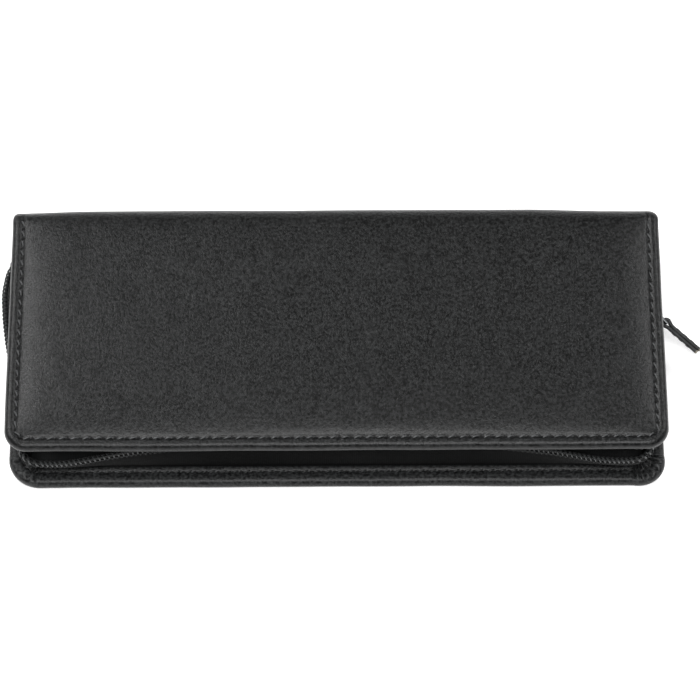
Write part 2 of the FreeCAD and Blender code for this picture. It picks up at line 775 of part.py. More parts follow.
os.makedirs("parts", exist_ok=True)
for part in parts:
    part.Shape.exportStep(f"parts/{part.Label}.step")
    box = part.Shape.BoundBox
    sides = ((box.XMin, box.XMax), (box.YMin, box.YMax), (box.ZMin, box.ZMax))
    spans = ", ".join(f"{low:.2f} to {high:.2f}" for low, high in sides)
    print(f"{part.Label}: {len(part.Shape.Solids)} solids, {part.Shape.Volume:.0f} mm3, spans {spans}")
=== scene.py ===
import math

import bpy
import numpy as np
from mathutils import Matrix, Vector, noise


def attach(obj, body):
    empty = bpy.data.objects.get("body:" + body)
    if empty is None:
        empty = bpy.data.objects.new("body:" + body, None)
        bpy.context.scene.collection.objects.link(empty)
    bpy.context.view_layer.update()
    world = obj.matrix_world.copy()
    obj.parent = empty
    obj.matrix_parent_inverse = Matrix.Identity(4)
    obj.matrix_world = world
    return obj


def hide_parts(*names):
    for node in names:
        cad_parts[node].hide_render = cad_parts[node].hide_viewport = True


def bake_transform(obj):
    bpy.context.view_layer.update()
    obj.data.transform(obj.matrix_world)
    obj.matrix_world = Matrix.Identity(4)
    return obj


# A leather zip-round pen case, shut on its lower cover with its zip undone. Shapes are worked out in
# millimetres in the CAD's frame (+X along the case, +Y to the spine, +Z up) and made in metres.

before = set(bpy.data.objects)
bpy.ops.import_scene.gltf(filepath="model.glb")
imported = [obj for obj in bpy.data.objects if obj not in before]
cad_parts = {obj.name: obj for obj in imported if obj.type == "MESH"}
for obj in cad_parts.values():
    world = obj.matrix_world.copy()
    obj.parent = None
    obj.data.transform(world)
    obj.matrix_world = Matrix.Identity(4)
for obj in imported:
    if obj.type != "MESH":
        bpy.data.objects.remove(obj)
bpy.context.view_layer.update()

MM = 0.001

# ---------------- sizes, in millimetres

HALF_LENGTH = 87.5
FRONT_EDGE = -37.0
LID_SETBACK = 1.1  # how far the lid's front edge lies behind the lower cover's
FLAT_END = 34.0  # where the covers' hide starts to bend up into the spine
BEND = 5.0  # outer radius of the hide's folds
BULGE_BACK = 0.35  # how far the spine's ends lie in front of its plain outline
BULGE_RISE = 0.7  # how much further back its middle stands than its ends
SHUT_HEIGHT = 21.5  # floor to the lid's stitched border
COVER = 3.3  # thickness of a cover at its edge, hide and turned-in rim together
SPINE_EDGE = 1.8  # thickness of the spine's turned edge
HIDE = 1.0  # thickness of the outer leather
RIM = 0.7  # thickness of its turned-in rim
EDGE_ROLL = 1.4  # how far in from a cover's edge its rounding starts
STITCH_PITCH = 3.1
GRID = STITCH_PITCH / 4  # spacing of the points along a cover's edges
LID_RISE = 1.5  # how far padding lifts the middle of the lid
SWELL_REACH = 4.2  # over how far that lift grows inwards from the stitches
SEAM_DEPTH = 0.20  # how deep the stitched seams press into the leather
HOLE_DEPTH = 0.26  # and how much deeper at their needle holes
CORNER_FILL = 1.6  # twice the bulge of the lower cover's right front corner
DRAW_IN = {"left": 0.2, "right": 1.4}  # how far the sides draw in beside the spine
PLEAT_DEPTH = {"left": 0.32, "right": 0.46}
PLEAT_WAVE = {"left": 17, "right": 27}  # how much faster the pleats' wave turns than the corner does

# These differ between the lid (True) and the lower cover (False).
RIM_WIDTH = {True: 4.2, False: 5.3}
STITCH_INSET = {True: 2.9, False: 3.6}
PATCH_INSET = {True: 5.0, False: 6.2}  # where the rings round a cover's edge give way to its inner patch
CORNER = {True: 6.0, False: 8.5}
CORNER_STEPS = {True: 24, False: 60}
HIDE_SEED = {True: 11.0, False: 47.0}

# Distances along the hide are counted from where it starts to bend up into the spine.
T_FRONT = {True: FRONT_EDGE + LID_SETBACK - FLAT_END, False: FRONT_EDGE - FLAT_END}
T_FOLD = BEND * math.pi / 2  # where the bend ends
T_END = T_FOLD + SHUT_HEIGHT / 2 - BEND  # halfway up the spine, where the two hides meet


# ---------------- mesh helpers


def smooth(x):
    x = np.clip(x, 0, 1)
    return x * x * (3 - 2 * x)


def unit(vectors):
    return vectors / np.linalg.norm(vectors, axis=-1, keepdims=True)


def add_object(name, data):
    made = bpy.data.objects.new(name, data)
    bpy.context.scene.collection.objects.link(made)
    return made


def make_mesh(name, points, faces, material, sharp_angle=50, uv=None):
    """A smooth-shaded object from points in millimetres. uv gives each point's place in millimetres."""
    mesh = bpy.data.meshes.new(name)
    mesh.from_pydata((np.asarray(points, float) * MM).tolist(), [], [tuple(f) for f in faces])
    mesh.polygons.foreach_set("use_smooth", [True] * len(mesh.polygons))
    mesh.set_sharp_from_angle(angle=math.radians(sharp_angle))
    if uv is not None:
        layer = mesh.uv_layers.new(name="along")
        corners = np.zeros(len(mesh.loops), int)
        mesh.loops.foreach_get("vertex_index", corners)
        layer.data.foreach_set("uv", np.asarray(uv, np.float32)[corners].ravel())
    mesh.materials.append(material)
    return add_object(name, mesh)


def grid_faces(index, closed=False):
    """Quads over a two-way table of point numbers. closed joins its last row to its first."""
    if closed:
        index = np.vstack([index, index[:1]])
    corners = [index[:-1, :-1], index[:-1, 1:], index[1:, 1:], index[1:, :-1]]
    return np.stack(corners, axis=-1).reshape(-1, 4).tolist()


def tube_faces(count, sides, closed_path=False):
    """The faces of a tube through a number of rings, with flat ends unless its path is closed."""
    index = np.arange(count * sides).reshape(count, sides)
    faces = grid_faces(np.hstack([index, index[:, :1]]), closed_path)
    if not closed_path:
        faces += [index[0].tolist(), index[-1][::-1].tolist()]
    return faces


def sweep(name, rings, material, closed_path=False, uv=None):
    """A tube through rings of points."""
    rings = np.asarray(rings)
    faces = tube_faces(*rings.shape[:2], closed_path)
    return make_mesh(name, rings.reshape(-1, 3), faces, material, uv=uv)


def joined(name, pieces, material, sharp_angle=50):
    """One object from several (points, faces) pairs."""
    points, faces, first = [], [], 0
    for piece_points, piece_faces in pieces:
        points.append(piece_points)
        faces += [[first + corner for corner in face] for face in piece_faces]
        first += len(piece_points)
    return make_mesh(name, np.vstack(points), faces, material, sharp_angle)


def used_only(points, faces):
    """The points that the faces use, and the faces renumbered to match."""
    used = np.unique(np.concatenate([np.array(face) for face in faces]))
    renumber = np.zeros(len(points), int)
    renumber[used] = np.arange(len(used))
    return points[used], [renumber[np.array(face)].tolist() for face in faces]


def running_length(points):
    """The distance along a line at each of its points."""
    return np.concatenate([[0], np.cumsum(np.linalg.norm(np.diff(points, axis=0), axis=1))])


def along_line(place, distance, values):
    """The row of values at a place along a line, whose points lie at the given distances."""
    return np.array([np.interp(place, distance, column) for column in values.T])


def strip_uv(along, across):
    """A swept strip's uv: the distance along it and across it at each of its points."""
    return np.stack(np.broadcast_arrays(along[:, None], across[None]), -1).reshape(-1, 2)


def rough_field(x, y, size, seed):
    """Gentle noise from -1 to 1 over places in millimetres, with lumps of the given size."""
    places = np.broadcast_arrays(np.asarray(x, float), np.asarray(y, float))
    flat = zip(places[0].ravel() / size, places[1].ravel() / size)
    values = [noise.noise(Vector((u, v, seed))) for u, v in flat]
    return np.array(values).reshape(places[0].shape)


# ---------------- material helpers

GRAIN_DEPTH = 0.11  # depth of the leather's grain, in millimetres


def new_material(name):
    material = bpy.data.materials.new(name)
    material.use_nodes = True
    return material, material.node_tree, material.node_tree.nodes["Principled BSDF"]


def fill(tree, shader, inputs):
    """Give a shader node its inputs, each a value or another node's output."""
    for key, given in dict(inputs).items():
        if isinstance(given, bpy.types.NodeSocket):
            tree.links.new(given, shader.inputs[key])
        else:
            shader.inputs[key].default_value = given


def node(tree, kind, settings=(), inputs=()):
    """A new shader node with its settings and inputs."""
    made = tree.nodes.new("ShaderNode" + kind)
    for key, setting in dict(settings).items():
        setattr(made, key, setting)
    fill(tree, made, inputs)
    return made


def object_place(tree, stretch=(1, 1, 1)):
    """Places on the piece in millimetres, stretched along its axes."""
    place = node(tree, "TexCoord").outputs["Object"]
    return node(tree, "Mapping", inputs={"Vector": place, "Scale": [s / MM for s in stretch]}).outputs[0]


def noise_texture(tree, place, scale, detail=3, roughness=0.5):
    inputs = {"Vector": place, "Scale": scale, "Detail": detail, "Roughness": roughness}
    return node(tree, "TexNoise", inputs=inputs).outputs[0]


def ramp(tree, factor, low, high, start=(0, 0, 0, 1), end=(1, 1, 1, 1)):
    made = node(tree, "ValToRGB", inputs={"Fac": factor})
    made.color_ramp.elements[0].position = low
    made.color_ramp.elements[1].position = high
    made.color_ramp.elements[0].color = start
    made.color_ramp.elements[1].color = end
    return made.outputs[0]


def mix(tree, factor, first, second, blend="MIX"):
    settings = {"data_type": "RGBA", "blend_type": blend}
    return node(tree, "Mix", settings, {"Factor": factor, 6: first, 7: second}).outputs[2]


def remap(tree, given, low, high):
    return node(tree, "MapRange", inputs={"Value": given, "To Min": low, "To Max": high}).outputs[0]


def bump(tree, height, strength, distance_mm, under=None):
    inputs = {"Height": height, "Strength": strength, "Distance": distance_mm * MM}
    if under is not None:
        inputs["Normal"] = under
    return node(tree, "Bump", inputs=inputs).outputs[0]


def grey(level):
    """A very slightly cool grey."""
    return (level * 0.96, level, level * 1.02, 1)


def pebble_creases(tree, place, grain):
    """Black in the creases between small uneven pebbles of leather, white on the pebbles."""
    warp = noise_texture(tree, place, 0.8, 2)
    sum_inputs = {0: warp, 1: (0.5, 0.5, 0.5), 2: place}
    shifted = node(tree, "VectorMath", {"operation": "MULTIPLY_ADD"}, sum_inputs).outputs[0]
    inputs = {"Vector": shifted, "Scale": 1 / grain}
    pebbles = node(tree, "TexVoronoi", {"feature": "DISTANCE_TO_EDGE"}, inputs).outputs[0]
    return ramp(tree, pebbles, 0.0, 0.16)


def leather_relief(tree, place, creases, speckle):
    """The bumps of leather: soft wrinkles, an uneven grain, the creases between its pebbles, and pores."""
    wrinkles = noise_texture(tree, object_place(tree, (0.55, 1, 1)), 0.28, 4, 0.6)
    relief = bump(tree, wrinkles, 0.4, GRAIN_DEPTH * 3)
    relief = bump(tree, speckle, 0.8, GRAIN_DEPTH * 1.1, relief)
    relief = bump(tree, creases, 0.4, GRAIN_DEPTH * 0.5, relief)
    return bump(tree, noise_texture(tree, place, 5.0, 2), 0.25, GRAIN_DEPTH * 0.6, relief)


def leather(name, dark, light, roughness, grain=0.72, edge_wear_and_highlight=1.7):
    """Fine-grained dyed leather: small pebbles with creases between them, soft wrinkles, and sharp edges
    lightened, partly as wear and partly as a painted highlight.
    """
    material, tree, shader = new_material(name)
    place = object_place(tree)
    creases = pebble_creases(tree, place, grain)
    speckle = noise_texture(tree, place, 1.25, 3, 0.6)
    patches = noise_texture(tree, place, 0.06, 3, 0.55)
    tone = mix(tree, ramp(tree, patches, 0.35, 0.68), grey(dark), grey(light))
    # The creases between the pebbles are darkened in the tone: painted shade.
    tone = mix(tree, 0.2, tone, mix(tree, creases, grey(dark * 0.6), grey(light)))
    tone = mix(tree, 0.75, tone, ramp(tree, speckle, 0.40, 0.64, grey(dark * 0.2), grey(light * 4.6)))
    # Sharp edges are lightened in the tone: partly wear, partly a painted highlight where edges catch the
    # lamps.
    worn_and_highlit_edges = ramp(tree, node(tree, "NewGeometry").outputs["Pointiness"], 0.52, 0.60)
    tone = mix(tree, worn_and_highlit_edges, tone, grey(light * edge_wear_and_highlight))
    gloss = mix(tree, 0.6, patches, speckle)
    fill(tree, shader, {
        "Base Color": tone,
        "Roughness": remap(tree, gloss, roughness - 0.10, roughness + 0.12),
        "Normal": leather_relief(tree, place, creases, speckle),
        "Specular IOR Level": 0.22,
        "Coat Weight": 0.06,
        "Coat Roughness": 0.42,
    })
    return material


def woven(name, dark, light, pitch, roughness=0.85, along="along", depth=0.10):
    """Narrow woven cloth: warp and weft threads crossing, over places along and across the strip."""
    material, tree, shader = new_material(name)
    if along:
        place = node(tree, "UVMap", {"uv_map": along}).outputs[0]
    else:
        place = object_place(tree)
    waves = []
    for direction in ("X", "Y"):
        settings = {"bands_direction": direction, "wave_profile": "SIN"}
        inputs = {"Vector": place, "Scale": 0.314 / pitch, "Distortion": 0.6, "Detail Scale": 3.0}
        waves.append(node(tree, "TexWave", settings, inputs).outputs[0])
    cloth = mix(tree, 1.0, waves[0], waves[1], "MULTIPLY")
    fuzz = noise_texture(tree, place, 2.5, 3)
    threads = mix(tree, 0.3, cloth, fuzz)
    fill(tree, shader, {
        "Base Color": mix(tree, threads, grey(dark), grey(light)),
        "Roughness": remap(tree, fuzz, roughness - 0.1, roughness + 0.1),
        "Normal": bump(tree, threads, 0.6, depth),
        "Sheen Weight": 0.03,
        "Specular IOR Level": 0.12,
    })
    return material


def moulded(name, dark, light, roughness, metallic=0.0, scratch=0.35):
    """Nylon, dyed thread, board or blackened metal: a mottled tone, uneven gloss and faint scratches."""
    material, tree, shader = new_material(name)
    mottle = noise_texture(tree, object_place(tree), 1.2, 4)
    lines = noise_texture(tree, object_place(tree, (0.3, 3, 3)), 2.0, 2)
    fill(tree, shader, {
        "Base Color": mix(tree, mottle, dark, light),
        "Roughness": remap(tree, lines, roughness - 0.1, roughness + 0.12),
        "Normal": bump(tree, lines, scratch, 0.03),
        "Metallic": metallic,
    })
    return material


LID_LEATHER = leather("lid_hide", 0.002, 0.0046, 0.32)
BASE_LEATHER = leather("base_hide", 0.005, 0.0088, 0.42, edge_wear_and_highlight=2.0)
INNER_LEATHER = leather("inner_hide", 0.004, 0.0055, 0.58, grain=0.5)
RAW_LEATHER = moulded("cut_leather", (0.10, 0.085, 0.07, 1), (0.30, 0.27, 0.22, 1), 0.8)
THREAD = moulded("black_thread", grey(0.03), grey(0.075), 0.42, scratch=0.8)
RIM_THREAD = moulded("rim_thread", grey(0.006), grey(0.016), 0.55, scratch=0.8)
# Near-black finish for the plugs in the needle holes: painted shade.
NEEDLE_HOLE_SHADE = moulded("needle_hole_painted_shade", grey(0.0008), grey(0.0016), 0.95, scratch=0.1)
LINING = woven("lining_cloth", 0.010, 0.028, 0.45, 0.8, along=None, depth=0.05)
TAPE = woven("zip_tape_cloth", 0.0015, 0.006, 0.5)
ELASTIC = woven("elastic_band", 0.008, 0.030, 0.6)
NYLON = moulded("zip_nylon", grey(0.022), grey(0.05), 0.24, scratch=0.1)
METAL = moulded("blackened_metal", grey(0.05), grey(0.10), 0.30, 0.9)
BOARD = moulded("black_board", grey(0.012), grey(0.03), 0.9, scratch=0.6)
FELT = moulded("padding_felt", (0.05, 0.05, 0.05, 1), (0.12, 0.12, 0.12, 1), 0.95, scratch=1.0)


# ---------------- the hide


def on_hide(x, t, depth, lid):
    """The place of a point on a cover's hide: t is the distance along the hide past the fold's start,
    and depth is how far it lies below the hide's outer face."""
    x, t, depth = np.broadcast_arrays(*(np.asarray(v, float) for v in (x, t, depth)))
    turn = np.clip(t, 0, T_FOLD) / BEND
    y = FLAT_END + np.minimum(t, 0) + BEND * np.sin(turn)
    z = BEND - BEND * np.cos(turn) + np.maximum(t - T_FOLD, 0)
    y = y - depth * np.sin(turn)
    z = z + depth * np.cos(turn)
    middle_part = 1 - smooth((np.abs(x + 8) - 58) / 24)
    bulge = -BULGE_BACK + BULGE_RISE * middle_part + 0.06 * np.sin(x / 9)
    y = y + bulge * smooth((y - 26) / 12)
    if lid:
        z = SHUT_HEIGHT - z
    return np.stack([x, y, z], axis=-1)


def edge_ring(lid, inset, wander=0.0):
    """(x, t) of the line round the left, front and right edges of a cover, drawn in by inset and moved
    outwards by wander, and the number of its points on one side and on the front."""
    half, middle = HALF_LENGTH - CORNER[lid], T_FRONT[lid] + CORNER[lid]
    radius = CORNER[lid] - inset
    side = np.linspace(T_END, middle, int((T_END - middle) / GRID) + 1)
    turn = np.linspace(0, math.pi / 2, CORNER_STEPS[lid] + 1)[1:-1]
    front = np.linspace(-half, half, int(2 * half / GRID) + 1)
    level_x, level_t = np.zeros(len(front)), np.zeros(len(side))
    nx = np.concatenate([level_t - 1, -np.cos(turn), level_x, np.sin(turn), level_t + 1])
    nt = np.concatenate([level_t, -np.sin(turn), level_x - 1, -np.cos(turn), level_t])
    right = np.full(len(side) + len(turn), half)
    x = np.concatenate([-right, front, right]) + nx * radius
    ahead = np.full(len(front) + 2 * len(turn), middle)
    t = np.concatenate([side, ahead, side[::-1]]) + nt * radius
    fuller = 0.0 if lid else CORNER_FILL * np.maximum(nx, 0) * -nt
    narrower = np.where(x < 0, DRAW_IN["left"], DRAW_IN["right"]) * smooth((t - 1) / 6)
    x = x + nx * (wander + fuller - narrower)
    return x, t + nt * (wander + fuller), len(side), len(front)


def swell(x, t, lid):
    """How far padding lifts the lid's hide, from nothing at the stitch line to its full rise inside."""
    inside = STITCH_INSET[lid] + 0.3
    from_side = np.maximum(HALF_LENGTH - inside - np.abs(x), 0)
    from_front = np.maximum(t - T_FRONT[lid] - inside, 0)
    rise = LID_RISE * lid * (1 - np.exp(-from_side / SWELL_REACH))
    rise = rise * (1 - np.exp(-from_front / SWELL_REACH))
    return rise * (1 - np.exp(-np.maximum(1.5 - t, 0) / 6.5))


def handled(x, t, seed, amount):
    """Soft unevenness of leather that has been handled: broad waves, small dents and fine creases."""
    broad = 0.16 * rough_field(x, t, 26, seed)
    dents = 0.05 * rough_field(x, t, 7, seed + 3)
    ridge = 1 - np.abs(rough_field(x * 0.55 + t * 0.35, t * 0.5 - x * 0.15, 5, seed + 7)) * 2.4
    near_edge = 0.35 + np.exp(-(HALF_LENGTH - np.abs(x)) / 12) + 0.6 * np.exp(-(t - T_FRONT[True]) / 10)
    creases = -0.05 * np.clip(ridge, 0, 1) ** 3 * near_edge
    return amount * (broad + dents + creases) * (1 - smooth((t - 2) / 6))


def cover_profile(lid):
    """Rings from the outer patch over the edge and rim and back inside: (inset, depth, how much of
    the depth follows the cover's thickness)."""
    seam, patch, rim = STITCH_INSET[lid], PATCH_INSET[lid], RIM_WIDTH[lid]
    near_seam = (1.5, 1.0, 0.6, 0.3, 0, -0.3, -0.6, -0.95)
    rings = [(patch, 0.0, 0.0)] + [(seam + gap, 0.0, 0.0) for gap in near_seam] + [(1.65, 0.0, 0.0)]
    for turn in np.linspace(0, math.pi, 13):
        share = (1 - math.cos(turn)) / 2
        rings.append((EDGE_ROLL * (1 - math.sin(turn)), COVER * share, share))
    rings += [(inset, COVER, 1.0) for inset in (1.75, 2.1, seam - 0.5, seam - 0.25, seam, seam + 0.25)]
    rings += [(inset, COVER, 1.0) for inset in (seam + 0.55, rim - 0.45, rim - 0.2)]
    rings += [(rim, COVER - 0.12, 1.0), (rim + 0.08, COVER - 0.4, 1.0)]
    rings += [(rim, COVER - RIM, 1.0), (2.6, COVER - RIM, 1.0), (1.15, COVER - RIM, 1.0)]
    rings += [(1.05, HIDE, 0.0), (2.6, HIDE, 0.0), (4.0, HIDE, 0.0), (patch, HIDE, 0.0)]
    return rings


def coons(ring_x, ring_t, first, last):
    """A grid over the inside of a ring, whose front part runs from first to last."""
    left = np.stack([ring_x[first::-1], ring_t[first::-1]], -1)
    front = np.stack([ring_x[first:last + 1], ring_t[first:last + 1]], -1)
    right = np.stack([ring_x[last:], ring_t[last:]], -1)
    u = ((front[:, 0] - front[0, 0]) / (front[-1, 0] - front[0, 0]))[:, None, None]
    v = ((left[:, 1] - left[0, 1]) / (left[-1, 1] - left[0, 1]))[None, :, None]
    back = left[-1] + u[:, 0] * (right[-1] - left[-1])
    grid = (1 - v) * front[:, None] + v * back[:, None] + (1 - u) * left[None] + u * right[None]
    corners = (1 - u) * (1 - v) * front[0] + u * (1 - v) * front[-1]
    corners = corners + (1 - u) * v * left[-1] + u * v * right[-1]
    grid -= corners
    return grid[..., 0], grid[..., 1]


def pleats(x, t, inset):
    """Gathers of the lower cover's turned-in leather, fanning out round both front corners."""
    half = HALF_LENGTH - CORNER[False]
    across = np.abs(x) - half
    ahead = T_FRONT[False] + CORNER[False] - t
    turn = np.arctan2(ahead, np.maximum(across, 1e-6))
    spread = smooth((turn + 0.9) / 0.7) * (1 - smooth((turn - 1.5) / 0.5)) * (across > -5)
    depth, wave = (np.where(x > 0, by["right"], by["left"]) for by in (PLEAT_DEPTH, PLEAT_WAVE))
    strength = depth * spread * smooth((inset - 0.3) / 1.6)
    folds = np.sin(turn * wave + 1.4 * np.sin(turn * 5))
    return strength * (folds * 0.6 - 0.5 * np.clip(-folds, 0, 1) ** 4 - 0.1)


def needle_marks(lid):
    """From 0 between two needle holes to 1 at a hole, at each point round a cover's edge."""
    seam_x, seam_t, _, _ = edge_ring(lid, STITCH_INSET[lid])
    along = running_length(np.stack([seam_x, seam_t], -1))
    return 0.5 + 0.5 * np.cos(2 * math.pi * along / STITCH_PITCH)


def hide_ring(lid, wander, holes, inset, depth, follow):
    """One ring of points round a cover, with the seam, padding and pleats pressed into it."""
    x, t, _, _ = edge_ring(lid, inset, wander * (1 - smooth((inset - 2) / 3)))
    thick = (SPINE_EDGE - COVER) * smooth((t + 2.5) / 5)
    low = depth + follow * thick
    seam = np.exp(-((inset - STITCH_INSET[lid]) / 0.42) ** 2)
    sewn = seam * (SEAM_DEPTH + HOLE_DEPTH * holes) * (1 - smooth((t - 1) / 3))
    crown = 0.03 * np.exp(-((inset - STITCH_INSET[lid] + 1.0) / 0.6) ** 2)
    on_outer_face = follow == 0.0 and depth == 0.0
    on_rim = follow == 1.0 and inset > EDGE_ROLL and depth > COVER - 0.5
    on_edge = follow > 0.5 and depth > COVER * 0.5
    if on_outer_face:
        low = low - swell(x, t, lid) + sewn - crown
        low = low - handled(x, t, HIDE_SEED[lid], smooth((inset - 3) / 2)) * lid
    elif on_rim:
        low = low - sewn + crown
        if not lid:
            low = low + pleats(x, t, inset)
    elif on_edge and not lid:
        low = low + pleats(x, t, inset) * follow
    elif depth == HIDE:
        low = low - swell(x, t, lid)
    return on_hide(x, t, low, lid)


def hide_patch(lid, depth, ring, first, last, start):
    """The patch inside a ring, at the given depth: its points, and its table of point numbers."""
    x, t = coons(*edge_ring(lid, PATCH_INSET[lid])[:2], first, last)
    low = depth - swell(x, t, lid)
    if depth == 0.0 and lid:
        low = low - handled(x, t, HIDE_SEED[lid], 1.0)
    table = np.arange(start, start + x.size).reshape(x.shape)
    table[:, 0] = ring[first:last + 1]
    table[0] = ring[first::-1]
    table[-1] = ring[last:]
    return on_hide(x, t, low, lid).reshape(-1, 3), table


def make_hide(name, lid, material):
    """One half of the outer leather: a cover with its turned-in rim, and half of the spine."""
    line_x, line_t, side_count, front_count = edge_ring(lid, 0)
    wander = 0.16 * rough_field(line_x, line_t, 19, HIDE_SEED[lid] + 20)
    holes = needle_marks(lid)
    points = [hide_ring(lid, wander, holes, *ring) for ring in cover_profile(lid)]
    index = np.arange(len(points) * len(line_x)).reshape(len(points), -1)
    faces = grid_faces(index)
    first = side_count + CORNER_STEPS[lid] // 2 - 1
    last = first + front_count + CORNER_STEPS[lid] - 1
    start = index.size
    backs = []
    for ring, depth in ((index[0], 0.0), (index[-1], HIDE)):
        patch, table = hide_patch(lid, depth, ring, first, last, start)
        points.append(patch)
        start += len(patch)
        quads = grid_faces(table)
        faces += quads if depth == 0.0 else [quad[::-1] for quad in quads]
        backs.append(table[:, -1])
    faces += grid_faces(np.array(backs))
    faces.append(index[:, 0].tolist())
    faces.append(index[::-1, -1].tolist())
    points, faces = used_only(np.vstack(points), faces)
    if lid:
        faces = [face[::-1] for face in faces]
    return make_mesh(name, points, faces, material, 65)


lid_hide = make_hide("lid_leather", True, LID_LEATHER)
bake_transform(lid_hide)
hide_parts("top_leather", "top_rim", "spine_leather")

base_hide = make_hide("base_leather", False, BASE_LEATHER)
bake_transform(base_hide)
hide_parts("bottom_leather", "bottom_rim", "spine_leather")


# ---------------- stitching


def capsule(start, end, up, radius, arch=0.0, rings=7, sides=8):
    """(points, faces) of one stitch: thread that rises from its first hole and dives into its second."""
    start, end, up = (np.asarray(v, float) for v in (start, end, up))
    way = unit(end - start)
    side = unit(np.cross(up, way))
    up = np.cross(way, side)
    turns = np.arange(sides) * 2 * math.pi / sides
    points = []
    for share in np.linspace(0, 1, rings):
        here = radius * math.sqrt(max(1 - abs(2 * share - 1) ** 3.0, 0.05))
        centre = start + (end - start) * share + up * arch * math.sin(math.pi * share)
        points.append(centre + here * (np.cos(turns)[:, None] * side + np.sin(turns)[:, None] * up))
    return np.vstack(points), tube_faces(rings, sides)


def sew(line, up, pitch, length, radius, sink, slant=0.12):
    """Stitches along a line of points. up gives the face's outward direction at each point."""
    distance = running_length(line)
    pieces = []
    for number in range(int(distance[-1] / pitch)):
        ends = [pitch * number + (pitch - length) / 2, pitch * (number + 1) - (pitch - length) / 2]
        places = [along_line(end, distance, line) for end in ends]
        face = unit(along_line(sum(ends) / 2, distance, up))
        across = unit(np.cross(face, places[1] - places[0]))
        lean = across * slant * length / 2 * (1 + 0.3 * math.sin(number * 2.4))
        deep = face * -sink
        pieces.append(capsule(places[0] - lean + deep, places[1] + lean + deep, face, radius, sink + 0.10))
    return pieces


def flat_seam(line, up, sink=0.10, pitch=2.8, length=2.1):
    """A fine seam on a level face that looks up (1) or down (-1)."""
    return sew(line, np.tile([0, 0, float(up)], (len(line), 1)), pitch, length, 0.17, sink)


def hole_shade_plugs(line, up):
    """Painted shade for the holes between a seam's stitches: small dark plugs set into the leather."""
    half_length, radius, sink = 0.5, 0.33, 0.22
    distance = running_length(line)
    plugs = []
    for number in range(int(distance[-1] / STITCH_PITCH)):
        middle = STITCH_PITCH * (number + 0.02)
        face = up[np.searchsorted(distance, middle) % len(up)]
        places = (middle - half_length, middle + half_length)
        ends = [along_line(place, distance, line) - face * sink for place in places]
        plugs.append(capsule(*ends, face, radius))
    return plugs


def cover_stitches(name, lid, body, cad_node):
    """The lock stitch round a cover, with its outer row and its row on the rim, and dark plugs of painted
    shade in its needle holes.
    """
    x, t, _, _ = edge_ring(lid, STITCH_INSET[lid])
    keep = t < 1.5
    x, t = x[keep], t[keep]
    length, radius, sink, slant = 1.9, 0.22, 0.14, 0.42
    pieces, holes = [], []
    for depth, sign in ((0.14, -1), (COVER - 0.14, 1)):
        line = on_hide(x, t, depth, lid)
        up = np.zeros_like(line)
        up[:, 2] = -sign if lid else sign
        pieces += sew(line, up, STITCH_PITCH, length, radius, sink, slant)
        holes += hole_shade_plugs(line, up)
    made = joined(name, pieces + holes, THREAD if lid else RIM_THREAD)
    # The needle-hole plugs take the near-black finish: painted shade.
    made.data.materials.append(NEEDLE_HOLE_SHADE)
    thread_faces = sum(len(faces) for _, faces in pieces)
    for polygon in made.data.polygons[thread_faces:]:
        polygon.material_index = 1
    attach(made, body)
    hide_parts(cad_node)


cover_stitches("lid_stitches", True, "top_cover", "top_stitching")
cover_stitches("base_stitches", False, "bottom_cover", "bottom_stitching")


# ---------------- zip

ZIP_INSET = 4.65  # case edge to the line where the zip's tapes leave the rims
SIDE = HALF_LENGTH - ZIP_INSET
FRONT = FRONT_EDGE + ZIP_INSET
TURN = 4.2  # the zip line's corner radius
TAPE_BACK = 31.0  # where the tapes end beside the spine
STRAIGHT = TAPE_BACK - (FRONT + TURN)
ARC = TURN * math.pi / 2
ACROSS = 2 * (SIDE - TURN)
WHOLE = 2 * STRAIGHT + 2 * ARC + ACROSS
LOWER_FOOT = 3.35  # heights of the tapes' feet
UPPER_FOOT = 17.9
COIL_START = 26.0  # where the coils end on the left side
COIL_END = 19.5  # and on the right side, behind the slider
COIL_PITCH = 1.25

# How each half of the zip lies on each side: the place there, how far its coil leans outwards from the
# rim, and how far it stands off the rim.
LOWER_COIL = {
    "left": [
        (31, 1.2, 5.2), (26, 5.0, 7.0), (20, 6.5, 7.3), (11, 6.4, 7.4),
        (2, 5.3, 7.2), (-10, 3.0, 7.0), (-25, 1.2, 6.4),
    ],
    "front": [
        (-74, 2.4, 7.0), (-55, -0.6, 7.8), (-36, -3.0, 8.0), (0, -3.4, 8.2),
        (36, -3.0, 8.0), (56, -0.6, 7.8), (73, 2.2, 7.2),
    ],
    "right": [(-26, 0.75, 5.7), (31, 0.75, 5.7)],
}
UPPER_COIL = {
    "left": [(31, -3.5, 4.4), (0, -5.5, 4.6), (-26, -5.0, 4.8)],
    "front": [(-70, -5.2, 4.8), (0, -5.6, 4.6), (68, -5.2, 4.8)],
    "right": [(-26, 0.75, 5.5), (31, 0.75, 5.5)],
}


def along_rim(side, place):
    """The distance along the zip's line of a place on one side: its Y on the left and right, its X in
    front."""
    if side == "left":
        return TAPE_BACK - place
    if side == "front":
        return STRAIGHT + ARC + place + (SIDE - TURN)
    return STRAIGHT + 2 * ARC + ACROSS + place - (FRONT + TURN)


def rim_line(distance):
    """(point, outward direction) at distances along the zip's line, which rounds both front corners."""
    d = np.asarray(distance, float)
    first = np.clip((d - STRAIGHT) / TURN, 0, math.pi / 2)
    second = np.clip((d - STRAIGHT - ARC - ACROSS) / TURN, 0, math.pi / 2)
    turn = first + second
    out = np.stack([-np.cos(turn), -np.sin(turn), np.zeros_like(d)], -1)
    across = np.clip(d - STRAIGHT - ARC, 0, ACROSS)
    middle_x = -SIDE + TURN + across
    back = np.maximum(STRAIGHT - d, 0) + np.maximum(d - (WHOLE - STRAIGHT), 0)
    centre = np.stack([middle_x, FRONT + TURN + back, np.zeros_like(d)], -1)
    return centre + out * TURN, out


